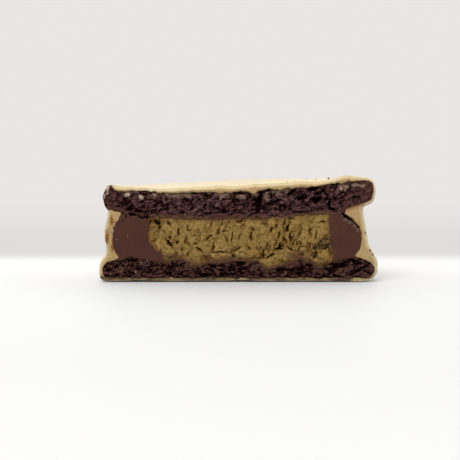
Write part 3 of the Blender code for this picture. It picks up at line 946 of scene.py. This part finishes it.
CREAM_LEFT = [                  # x and z of the net's left edge, under the ganache
    (-18.6, 4.8), (-19.4, 7.1), (-20.8, 8.2), (-22.1, 9.9), (-22.3, 11.75), (-22, 14), (-20.8, 16),
]
CREAM_RIGHT = [(23.4, 4.8), (23.3, 6.3), (23.1, 8.7), (22.8, 11), (22.6, 13.4), (22.3, 16.6)]
CREAM_AT_RIGHT = [(22.2, 4.4), (22.2, 6.3), (22.0, 8.7), (21.7, 11), (21.5, 13.4), (21.1, 16.6)]
CREAM_AT_LEFT = [               # radius and height where cream meets ganache
    (17.2, 4.6), (17.9, 6.3), (18.5, 7.3), (19.8, 8.2), (20.9, 9.9), (21.1, 11.75), (20.8, 14.1),
    (19.7, 15.6), (19.2, 16.3),
]
CREAM_TEARS = [
    (-19.2, 14.2, 1.0, 0.55, -40, 1.3), (-18.6, 12.9, 0.7, 0.35, -60, 1.0),
    (-16.4, 14.0, 0.8, 0.3, -55, 0.9), (-16.3, 9.2, 1.3, 0.38, -55, 1.3),
    (-14.1, 12.0, 1.0, 0.25, 85, 0.9), (-14.5, 9.4, 0.5, 0.3, 80, 1.0),
    (-12.4, 9.9, 1.2, 0.35, 75, 0.7), (-11.8, 12.6, 1.2, 0.2, -60, 0.8),
    (-9.2, 7.7, 1.0, 0.35, -25, 0.9), (-7.1, 10.6, 1.0, 0.3, 40, 0.9),
    (-4.6, 7.2, 2.6, 0.16, 2, 0.9), (-3.4, 12.2, 0.5, 0.25, 10, 0.8),
    (-1.5, 10.8, 1.5, 0.17, 88, 0.9), (-0.3, 7.9, 1.0, 0.2, 25, 0.9),
    (0.2, 14.5, 1.1, 0.3, 10, 0.8), (3.0, 10.8, 1.3, 0.32, 90, 1.0), (3.9, 5.8, 1.4, 0.1, 0, 0.6),
    (5.9, 6.1, 0.7, 0.35, 60, 1.1), (7.8, 12.5, 0.8, 0.33, 65, 1.0), (7.7, 6.3, 1.1, 0.28, 25, 1.1),
    (9.9, 8.3, 0.85, 0.55, 75, 1.4), (9.5, 7.9, 0.9, 0.4, 5, 1.3), (11.5, 12.9, 1.3, 0.4, 75, 1.2),
    (12.4, 10.6, 1.4, 0.35, -75, 1.1), (14.6, 11.8, 1.3, 0.3, 70, 0.7),
    (9.6, 11.0, 1.0, 0.35, 80, 0.9), (8.9, 13.4, 0.8, 0.3, 60, 0.8),
    (10.8, 10.2, 0.8, 0.35, -60, 0.9), (12.4, 7.8, 0.8, 0.3, -20, 1.0),
    (14.9, 8.5, 2.2, 0.1, -8, 0.6), (16.9, 12.2, 0.9, 0.32, 75, 0.9),
    (18.3, 11.0, 1.2, 0.22, 78, 0.8), (19.9, 14.4, 0.9, 0.2, 12, 0.7),
    (20.3, 9.1, 2.0, 1.3, 22, 1.1), (18.1, 6.5, 1.2, 0.6, 75, 1.1), (18.1, 8.4, 0.6, 0.7, 0, 1.0),
]
CREAM_SMEARS = [                # x, z, half width and half height
    (-14.9, 5.9, 2.2, 0.9), (-7.5, 5.8, 1.5, 0.8), (1.6, 5.5, 3.8, 0.6), (14.1, 6.4, 2.6, 1.0),
    (6.3, 15.3, 1.6, 0.6), (-5.0, 15.2, 6.0, 0.4), (-18.9, 14.4, 1.1, 0.8),
]
CREAM_STROKES = [
    *scattered(5, 34, (-21.5, 23), (4.5, 15), (0.5, 1.5), (0.14, 0.34), (55, 88), (0.3, 0.9)),
    *scattered(6, 26, (-21.5, 23), (4.5, 15), (0.4, 1.3), (0.14, 0.34), (92, 125), (0.3, 0.9)),
    *scattered(7, 12, (-21.5, 23), (4.5, 15), (0.3, 0.8), (0.1, 0.22), (-20, 40), (0.3, 0.8)),
    *scattered(8, 15, (5, 17.5), (6.5, 14.5), (0.5, 1.3), (0.15, 0.32), (65, 115), (0.4, 0.9)),
]
CREAM_GRID = (430, 125)
CREAM_ROLLS = (0.2, 0.35, 0.2, 0.35)
FACET, CHIP = (1.5, 1.7), (0.5, 1.5)    # size of the torn flats and bits, and how tall each is


def cream_grid():
    """The net of the core's cut face, which reaches far under the edges of the biscuits."""
    left, right = smooth_line(CREAM_LEFT), smooth_line(CREAM_RIGHT)

    def between(seam, lift, at):
        line = smooth_line(seam) + (0, lift)
        line = line[(line[:, 0] > left[at, 0] + 0.1) & (line[:, 0] < right[at, 0] - 0.1)]
        leftward, rightward = split_at_middle(line)
        ends = [(end[at, 0], np.interp(end[at, 0], *line.T)) for end in (left, right)]
        return both_halves([ends[0], leftward], [rightward, ends[1]], CREAM_GRID[0])

    return spread(
        between(BOTTOM_SEAM, -0.25, 0), evenly(right, CREAM_GRID[1]),
        between(TOP_SEAM, 0.4, -1), evenly(left, CREAM_GRID[1]),
    )


def inside_seams(x, z):
    """How far inside the nearer of the two seams a point of the cream lies."""
    return np.minimum(-above(TOP_SEAM, x, z), above(BOTTOM_SEAM, x, z))


def cream_relief(grid):
    """Flat smears at slightly different depths, torn into upright rents, with pits in them."""
    x, z = np.moveaxis(grid, -1, 0)
    bend_x = x + 0.5 * grain(2.2, x, 3, z) + 0.1 * grain(0.5, x, 3, z, 2)
    bend_z = z + 0.4 * grain(2.2, x, 6, z) + 0.1 * grain(0.5, x, 6, z, 2)
    facet, facet_edge = clumps(bend_x, bend_z, *FACET, 44)
    chip, chip_edge = clumps(bend_x, bend_z, *CHIP, 47)
    relief = 0.12 + 0.1 * facet + 0.05 * chip + 0.05 * grain(0.5, x, 5, z / 1.5)
    torn = smoothstep(0.1, 0.5, grain(2.4, x, 9, z / 1.4))
    relief += (0.03 + 0.2 * torn) * facet_edge ** 5 + 0.12 * torn * chip_edge ** 4
    relief += 0.12 * smoothstep(0.88, 0.92, chip) * torn
    near_seam = inside_seams(x, z)
    strokes = gouges(x, z, CREAM_STROKES) * smoothstep(0, 0.8, near_seam)
    behind = 0.1 * (1 - smoothstep(-0.1, 0.6, near_seam))
    dragged = 0.3 * gouges(x, z + 0.22, CREAM_STROKES + CREAM_TEARS, (0.3, 2.2))
    relief = relief + behind + dragged * smoothstep(0, 0.8, near_seam)
    return np.maximum(np.maximum(relief, strokes), gouges(x, z, CREAM_TEARS))


core_grid = cream_grid()
cream_mesh = disc_layer("pistachio_cream", core_grid, cream_relief(core_grid), CREAM_ROLLS)


def cream_smears(x, y, z):
    """How much cocoa is smeared over a point: the larger smears, and a haze along both seams."""
    wide = np.where(above(BOTTOM_SEAM, x, z) < 3, 1.7, 1.1)
    haze = 0.9 * (1 - smoothstep(-0.3, wide, inside_seams(x, z) + 0.8 * grain(1.8, x, 57, z)))
    return np.maximum(patches(x, z, CREAM_SMEARS, 0.6), haze)


def ganache_smears(x, y, z):
    """How much ganache is smeared over a point, at the two ends of the core."""
    right = np.interp(z, *np.array(CREAM_AT_RIGHT).T[::-1]) - x
    left = np.interp(z, *np.array(CREAM_AT_LEFT).T[::-1]) + x
    gap = np.minimum(right, left) + 0.8 * grain(1.0, x, 60, z)
    return 0.85 * (1 - smoothstep(-0.2, 1.1, gap))


tag(cream_mesh, smear=cream_smears, ganache=ganache_smears)
CREAM_DARK = (0.4, 0.242, 0.057), (0.22, 0.13, 0.027)     # in the light and in the dim patches
CREAM_PALE = (0.76, 0.5, 0.185), (0.45, 0.29, 0.09)
# The second and third colours on the next line are painted shade: one laid on with depth behind the
# cut, the other nearly black in the deepest pits.
CREAM_EVEN, CREAM_DEPTH_SHADE, PIT_SHADE_COLOUR = (0.53, 0.33, 0.1), (0.17, 0.083, 0.008), (0.02, 0.006, 0.001)
COCOA_SMEAR, GANACHE_SMEAR = (0.2, 0.098, 0.048), (0.25, 0.1, 0.03)


def cream_finish():
    """Dull olive-brown nut cream, with painted shade that darkens it with depth behind the cut, so it
    is paler where it stands proud and dark in the rents and pits.
    """
    made, add = shader("pistachio_cream", 0.6, 0.14)
    fine = masks(add, CLOUDS, size_mm=0.6, detail=4.0)
    dim = masks(add, CLOUDS, size_mm=1.1, detail=3.0, low=0.5, high=0.62)
    pit_shade = rise(add, masks(add, CUT_DEPTH, full_depth_mm=1.5), 0.55, 0.9, "LINEAR")
    colour = tinted(
        add, mixed(add, fine, mixed(add, dim, *CREAM_DARK), mixed(add, dim, *CREAM_PALE)),
        (reckon(add, "MULTIPLY", masks(add, CLOUDS, size_mm=3.0, detail=2.0), 0.5), CREAM_EVEN),
        ("smear", COCOA_SMEAR), ("ganache", GANACHE_SMEAR),
        # painted shade, darker with depth behind the cut and nearly black in the deepest pits
        (masks(add, CUT_DEPTH, full_depth_mm=0.85), CREAM_DEPTH_SHADE), (pit_shade, PIT_SHADE_COLOUR),
    )
    return finish(made, add, colour, fine, 0.35, 0.1)


layer("pistachio_cream", cream_mesh, cream_finish(), "cream", "pistachio_cream")


# --- Nut pieces ---------------------------------------------------------------------------------
# Bits of pistachio that the mill left whole. They sit in hollows of the cream, skin outwards.

NUT_PIECES = [                  # as pebbles takes them
    (20.5, 9.2, 1.75, 1.0, 24, 0.85, 0.6), (21.5, 9.8, 0.8, 0.7, 60, 0.7, 0.4),
    (19.9, 8.3, 1.0, 0.5, 10, 0.75, 0.4), (18.2, 8.4, 0.5, 0.6, 10, 0.6, 0.4),
    (17.9, 6.5, 0.75, 0.35, 70, 0.6, 0.35), (18.6, 6.2, 0.4, 0.25, 120, 0.6, 0.3),
]


def pebbles(name, rows, rough, detail):
    """One mesh of uneven lumps. Each row is x, z, half length, half width, how much it leans,
    depth behind the cut and half thickness."""
    mesh = bmesh.new()
    for at_x, at_z, length, width, lean, depth, thick in rows:
        made = bmesh.ops.create_icosphere(mesh, subdivisions=detail, radius=1)["verts"]
        turn = math.radians(lean)
        for vertex in made:
            x, y, z = vertex.co
            swell = 1 + rough * noise.fractal(vertex.co * 1.7 + Vector((at_x, at_z, 0)), 1, 2, 3)
            along, across = x * length * swell, z * width * swell
            place = np.array([[
                at_x + along * math.cos(turn) - across * math.sin(turn),
                depth + y * thick * swell,
                at_z + along * math.sin(turn) + across * math.cos(turn),
            ]])
            vertex.co = placed(place)[0]
    data = bpy.data.meshes.new(name)
    mesh.to_mesh(data)
    mesh.free()
    data.shade_smooth()
    return data


# The last colour on the next line is painted shade, laid on with depth behind the cut.
NUT_SKIN, NUT_KERNEL, NUT_PAINTED_SHADE = (0.06, 0.028, 0.006), (0.26, 0.16, 0.05), (0.035, 0.016, 0.002)


def nut_finish():
    """Dark olive kernel with patches of brown skin, and painted shade in the hollows, darker the
    deeper they lie behind the cut.
    """
    made, add = shader("pistachio_kernel", 0.5, 0.25)
    skin = masks(add, CLOUDS, size_mm=1.1, detail=3.0, low=0.4, high=0.6)
    deep = masks(add, CUT_DEPTH, full_depth_mm=1.0)
    # deep lays painted shade in the hollows, darker with depth behind the cut
    colour = tinted(add, mixed(add, skin, NUT_SKIN, NUT_KERNEL), (deep, NUT_PAINTED_SHADE))
    return finish(made, add, colour, skin, 0.5, 0.2)


layer("nut_pieces", pebbles("nut_pieces", NUT_PIECES, 0.55, 4), nut_finish(), "cream")


# --- Ganache ring -------------------------------------------------------------------------------
# Firm milk chocolate ganache piped round the cream. The knife left it smooth, with faint drag
# lines, and it has shrunk from the coat at the upper right, which leaves a dark crescent.

GANACHE_RIGHT = [
    (28.3, 4.9), (28.9, 6.9), (29.25, 8.8), (29.3, 10.8), (28.95, 12.2), (27.95, 13.5),
    (26.6, 14.7), (25.3, 15.4), (24.6, 15.95), (24.3, 16.9),
]
GANACHE_LEFT = [
    (28.6, 4.8), (29.5, 6.6), (29.95, 8.6), (29.9, 10.8), (29.75, 12.6), (29.2, 14.2),
    (28.5, 15.4), (28.1, 16.2), (27.9, 16.9), (27.7, 17.4),
]
GANACHE_GRID = (85, 110)
LOBE_ROLLS = (0.2, 0.14, 0.2, 0.15)
CLEFT_EDGE = (12, 13)           # above these heights the lobe's edge is ragged


def ganache_lobe(bulge, inner, low_line, high_line, seed):
    """The net of one of the ring's two cut faces, as (radius, height), from cream to coat."""
    outer = evenly(smooth_line(bulge), GANACHE_GRID[1])
    uneven = ragged(outer, 0.36, 0.6, seed + 7)
    outer = outer + (uneven - outer) * smoothstep(*CLEFT_EDGE, outer[:, 1:])
    wall = ragged(evenly(smooth_line(inner), GANACHE_GRID[1]), 0.45, 1.0, seed)
    share = np.linspace(0, 1, GANACHE_GRID[0])[:, None]
    low, high = (wall[at] + (outer[at] - wall[at]) * share for at in (0, -1))
    for line, seam, lift in ((low, low_line, -UNDER), (high, high_line, UNDER)):
        level = np.interp(line[:, 0], *seam.T) + lift
        fade = np.minimum(1, 4 * np.minimum(share[:, 0], 1 - share[:, 0]))
        line[:, 1] += (level - line[:, 1]) * fade
    return spread(low, outer, high, wall)


GANACHE_TEARS = [
    (-27.6, 16.3, 1.0, 0.4, 25, 1.0), (-26.5, 15.6, 0.6, 0.25, -70, 0.8),
    (-25.0, 16.1, 1.2, 0.45, -5, 1.2), (-23.2, 15.5, 0.9, 0.35, -40, 1.0),
    (-21.6, 15.4, 1.3, 0.4, -12, 1.2), (-20.1, 14.7, 1.0, 0.45, -50, 1.2),
    (-27.3, 14.5, 0.35, 0.2, 60, 0.5),
]


def ganache_relief(x, z):
    """Smooth, with faint upright drag lines and some tears along the top biscuit."""
    drag = 0.035 * grain(1, x / 0.5, 61, z / 6)
    return np.maximum(0.17 + drag + 0.05 * grain(4, x, 62, z, 2), gouges(x, z, GANACHE_TEARS))


def ring_outline(lobe):
    """The closed outline of a lobe."""
    return np.vstack([lobe[0], lobe[1:, -1], lobe[-1, -2::-1], lobe[-2::-1, 0]])


bottom_seam, top_seam = smooth_line(BOTTOM_SEAM), smooth_line(TOP_SEAM)
lobes = [
    ganache_lobe(GANACHE_RIGHT, CREAM_AT_RIGHT, bottom_seam, top_seam, 91),
    ganache_lobe(
        GANACHE_LEFT, CREAM_AT_LEFT, (bottom_seam * MIRROR)[::-1], (top_seam * MIRROR)[::-1], 92
    ),
]
lobe_faces = [
    cut_face(lobe, ganache_relief(way * lobe[..., 0], lobe[..., 1]), LOBE_ROLLS)
    for lobe, way in zip(lobes, (1, -1))
]
lobe_angle = angles(HIDDEN_COLUMNS)
lobe_outlines = [
    tucked(ring_outline(lobe), lobe_angle, ring_outline(lobe).mean(0)) for lobe in lobes
]
ganache_mesh = closed_mesh("ganache_ring", [
    net(lobe_faces[0]), net(lobe_faces[1] * (-1, 1, 1)),
    net(turned(*lobe_outlines, lobe_angle, LAYER_RIM)),
])


GANACHE_HIGHLIGHTS = [              # x, z, half width and half height of each painted highlight
    (25.3, 14.8, 0.5, 0.25), (26.4, 14.2, 0.5, 0.3), (27.3, 13.3, 0.45, 0.35),
    (28.2, 12.3, 0.3, 0.45), (24.9, 13.6, 0.3, 0.2),
]
# Painted highlights on the ring's shoulder at the upper right.
tag(ganache_mesh, scuff=lambda x, y, z: patches(x, z, GANACHE_HIGHLIGHTS, 0.6) * (y < 0.8))
GANACHE_COLOURS = (0.12, 0.0445, 0.028), (0.14, 0.054, 0.035)
# The second colour on the next line is a painted highlight on the ring's shoulder.
SUGAR_COLOUR, SHOULDER_HIGHLIGHT_COLOUR = (0.28, 0.17, 0.13), (0.27, 0.145, 0.12)
# Painted shade, laid on the deeper a point of the ring lies behind the cut.
CLEFT_PAINTED_SHADE = (0.03, 0.008, 0.006)


def ganache_finish():
    """Smooth milk chocolate with a low sheen, painted highlights on its shoulder at the upper right,
    and painted shade that darkens it with depth behind the cut.
    """
    made, add = shader("ganache", 0.45, 0.3)
    colour = tinted(
        add, mixed(add, masks(add, CLOUDS, size_mm=3.0, detail=3.0), *GANACHE_COLOURS),
        (masks(add, SPECKS, spacing_mm=1.6, size=0.06, share=0.3), SUGAR_COLOUR),
        # scuff lays the painted highlights on the shoulder
        ("scuff", SHOULDER_HIGHLIGHT_COLOUR), (masks(add, CUT_DEPTH, full_depth_mm=1.2), CLEFT_PAINTED_SHADE),
    )
    return finish(made, add, colour, masks(add, CLOUDS, size_mm=0.5, detail=3.0), 0.12, 0.1)


layer("ganache_ring", ganache_mesh, ganache_finish(), "ganache", "ganache_ring")


# --- Flakes of coat -----------------------------------------------------------------------------
# Thin bits of coat that the knife broke off and left on the cut and on the bare left rim.

FLAKES = [
    (-30.8, 21.9, 0.75, 0.3, 80, 0.2, 0.2), (-31.6, 20.3, 0.6, 0.28, 75, 0.45, 0.2),
    (-30.9, 21.0, 0.3, 0.25, 30, 0.2, 0.18), (-26.2, 20.7, 0.7, 0.42, 10, 0.15, 0.2),
    (-23.0, 20.15, 0.6, 0.45, -15, 0.2, 0.22), (-19.9, 20.7, 0.22, 0.25, 0, 0.2, 0.15),
    (25.5, 16.2, 0.45, 0.16, -40, 0.2, 0.15), (-26.2, 11.0, 0.1, 0.12, 0, 0.12, 0.1),
    (-28.8, 10.1, 0.1, 0.1, 0, 0.12, 0.1), (-29.85, 12.1, 0.42, 0.34, 30, 0.08, 0.15),
    (-24.3, 2.4, 0.2, 0.16, 0, 0.2, 0.15), (24.2, 22.1, 0.25, 0.4, 20, 0.25, 0.15),
    (-21.7, 5.1, 0.12, 0.1, 0, 0.15, 0.12), (-23.1, 4.6, 0.12, 0.16, 0, 0.15, 0.12),
    (-30.3, 1.95, 0.14, 0.1, 30, 0.15, 0.12),
]


FLAKE_COLOURS = (0.5, 0.36, 0.27), (0.78, 0.6, 0.47)


def flake_finish():
    """Coat with cocoa rubbed into it."""
    made, add = shader("rubbed_coat", 0.5, 0.35)
    rubbed = masks(add, CLOUDS, size_mm=0.5, detail=3.0)
    return finish(made, add, mixed(add, rubbed, *FLAKE_COLOURS), rubbed, 0.3, 0.1)


layer("coat_flakes", pebbles("coat_flakes", FLAKES, 0.5, 3), flake_finish(), "coat")


# --- Loose crumbs -------------------------------------------------------------------------------
# Dark crumbs of biscuit that fell on the coat's top and stuck to its cut face.

CRUMBS_ON_TOP = [               # x, how far back, and size
    (11.9, 13.0, 0.2), (13.7, 14.0, 0.15), (10.4, 12.0, 0.13), (18.9, 14.0, 0.15),
    (21.9, 11.0, 0.27), (17.0, 20.0, 0.12),
]
CRUMBS_ON_CUT = [
    (31.2, 7.6, 0.3, 0.14, -55, 0.1, 0.16), (31.75, 6.6, 0.3, 0.13, -65, 0.1, 0.16),
    (30.0, 11.8, 0.15, 0.14, 0, 0.08, 0.14), (28.9, 10.6, 0.12, 0.1, 0, 0.08, 0.12),
    (-30.1, 22.6, 0.35, 0.3, 40, 0.4, 0.4),
]
surface = coat_outside[COAT_ROWS["base"] + COAT_ROWS["side"]:].reshape(-1, 3)
on_top = []
for at_x, back, size in CRUMBS_ON_TOP:
    nearest = surface[np.hypot(surface[:, 0] - at_x, surface[:, 1] - back).argmin()]
    on_top.append((at_x, nearest[2] + 0.6 * size, size, 0.8 * size, 0, back, size))
crumbs_mesh = pebbles("loose_crumbs", CRUMBS_ON_CUT + on_top, 0.6, 3)
# open keeps most of the biscuit's painted shade off crumbs that lie more than a millimetre behind the
# cut.
tag(crumbs_mesh, film=0, cream=0, pressed=0, open=lambda x, y, z: (y > 1) * 0.7)
layer("loose_crumbs", crumbs_mesh, cocoa_biscuit, "biscuit")


# --- Floor, light and camera --------------------------------------------------------------------
# A plain pale surface, with painted light that brightens it towards the part, that runs back into a
# pale grey room, a softbox overhead and a camera that stands level with the cut face and looks a
# little down on it.

FLOOR_SIZE = 6.0
ROOM_GREY = (0.815, 0.785, 0.778)
FLOOR_LIT, FLOOR_SEEN = (0.38, 0.37, 0.36), (0.715, 0.72, 0.72)     # to the part, to the camera
# The first colour on the next line is painted light, which the camera sees on the floor towards the
# part.
FLOOR_PAINTED_LIGHT, FLOOR_FAR = (0.81, 0.82, 0.83), (0.735, 0.725, 0.72)
ROOM_DARK, WINDOW_GLOW, PANEL_GLOW = (0.13, 0.127, 0.125), (1.6, 1.58, 1.54), (1.7, 1.68, 1.64)
SOFTBOX_AT, SOFTBOX_SIZE, SOFTBOX_WATTS = (-0.12, -0.36, 0.68), (0.6, 0.5), 4.1
SOFTBOX_AIM = (0, 0, 0.01)
CAMERA_AT, CAMERA_DOWN = (-0.002, CUT - 0.380, 0.045), 4.9      # its place and its tilt in degrees
CAMERA_LENS, SENSOR_WIDTH = 126.4, 36
# How far back in metres the floor's painted light brightens it, it turns to the room's grey and gives
# way to it, and how far from the part it gives way all round.
FLOOR_PAINTED_LIGHT_RISES, FLOOR_GREYS = (-0.15, 0.02), (0.05, 0.28)
FLOOR_ENDS, FLOOR_REACH = (0.028, 0.056), (0.24, 0.5)
# Directions in the room, as parts of a step one metre long, between which each light fades in.
OVER_FLOOR, WINDOW_TOP, WINDOW_SIDE = (0.05, 0.2), (0.75, 0.55), (0.2, 0.5)
PANEL_SIDE, PANEL_END, ROOM_LIGHTENS = (0.45, 0.8), (-0.35, 0.0), (-0.6, 0.9)

edge = FLOOR_SIZE / 2
floor_mesh = bpy.data.meshes.new("floor")
floor_mesh.from_pydata(
    [(-edge, -edge, 0), (edge, -edge, 0), (edge, edge, 0), (-edge, edge, 0)], [], [(0, 1, 2, 3)]
)
floor = put("floor", floor_mesh)
floor_paint, add = shader("pale_floor", 0.6, 0.2)
near_floor = floor_paint.node_tree.nodes["Principled BSDF"]
seen = add("ShaderNodeLightPath").outputs["Is Camera Ray"]
place, parts = place_of(add)
# painted light: the floor as the camera sees it grows brighter towards the part
floor_painted_light = reckon(add, "MULTIPLY", rise(add, parts["Y"], *FLOOR_PAINTED_LIGHT_RISES), seen)
tone = mixed(add, floor_painted_light, mixed(add, seen, FLOOR_LIT, FLOOR_SEEN), FLOOR_PAINTED_LIGHT)
floor_paint.node_tree.links.new(tone, near_floor.inputs["Base Color"])
backdrop = mixed(add, rise(add, parts["Y"], *FLOOR_GREYS), FLOOR_FAR, ROOM_GREY)
far_floor = add("ShaderNodeEmission", {"Color": backdrop})
distance = add("ShaderNodeVectorMath", {0: place}, operation="LENGTH").outputs["Value"]
around = reckon(add, "MULTIPLY", rise(add, distance, *FLOOR_REACH), seen)
away = reckon(add, "MAXIMUM", rise(add, parts["Y"], *FLOOR_ENDS), around)
both = add("ShaderNodeMixShader", {0: away, 1: near_floor.outputs[0], 2: far_floor.outputs[0]})
floor_paint.node_tree.links.new(
    both.outputs[0], floor_paint.node_tree.nodes["Material Output"].inputs["Surface"]
)
floor_mesh.materials.append(floor_paint)

world = bpy.data.worlds.new("pale_room")
bpy.context.scene.world = world
world.use_nodes = True
add = node_maker(world.node_tree)
_, parts = place_of(add, "Generated")
over_floor = rise(add, parts["Z"], *OVER_FLOOR)
window = reckon(add, "MULTIPLY", over_floor, rise(add, parts["Z"], *WINDOW_TOP))
window = reckon(add, "MULTIPLY", window, rise(add, parts["Y"], *WINDOW_SIDE))
panel = rise(add, reckon(add, "ABSOLUTE", parts["X"]), *PANEL_SIDE)
panel = reckon(add, "MULTIPLY", panel, rise(add, parts["Y"], *PANEL_END))
panel = reckon(add, "MULTIPLY", panel, over_floor)
glow = tinted(
    add, ROOM_DARK, (rise(add, parts["Y"], *ROOM_LIGHTENS), ROOM_GREY), (window, WINDOW_GLOW),
    (panel, PANEL_GLOW), (add("ShaderNodeLightPath").outputs["Is Camera Ray"], ROOM_GREY),
)
world.node_tree.links.new(glow, world.node_tree.nodes["Background"].inputs["Color"])

lamp_data = bpy.data.lights.new("softbox", "AREA")
lamp_data.shape, lamp_data.energy = "RECTANGLE", SOFTBOX_WATTS
lamp_data.size, lamp_data.size_y = SOFTBOX_SIZE
lamp = put("softbox", lamp_data)
lamp.location = SOFTBOX_AT
lamp.rotation_euler = (Vector(SOFTBOX_AIM) - lamp.location).to_track_quat("-Z", "Y").to_euler()

camera_data = bpy.data.cameras.new("camera")
camera_data.sensor_width, camera_data.lens = SENSOR_WIDTH, CAMERA_LENS
camera_data.clip_start, camera_data.clip_end = 0.01, 20
camera = put("camera", camera_data)
camera.location = CAMERA_AT
camera.rotation_euler = (math.radians(90 - CAMERA_DOWN), 0, 0)
bpy.context.scene.camera = camera
bpy.context.scene.view_settings.view_transform = "Standard"
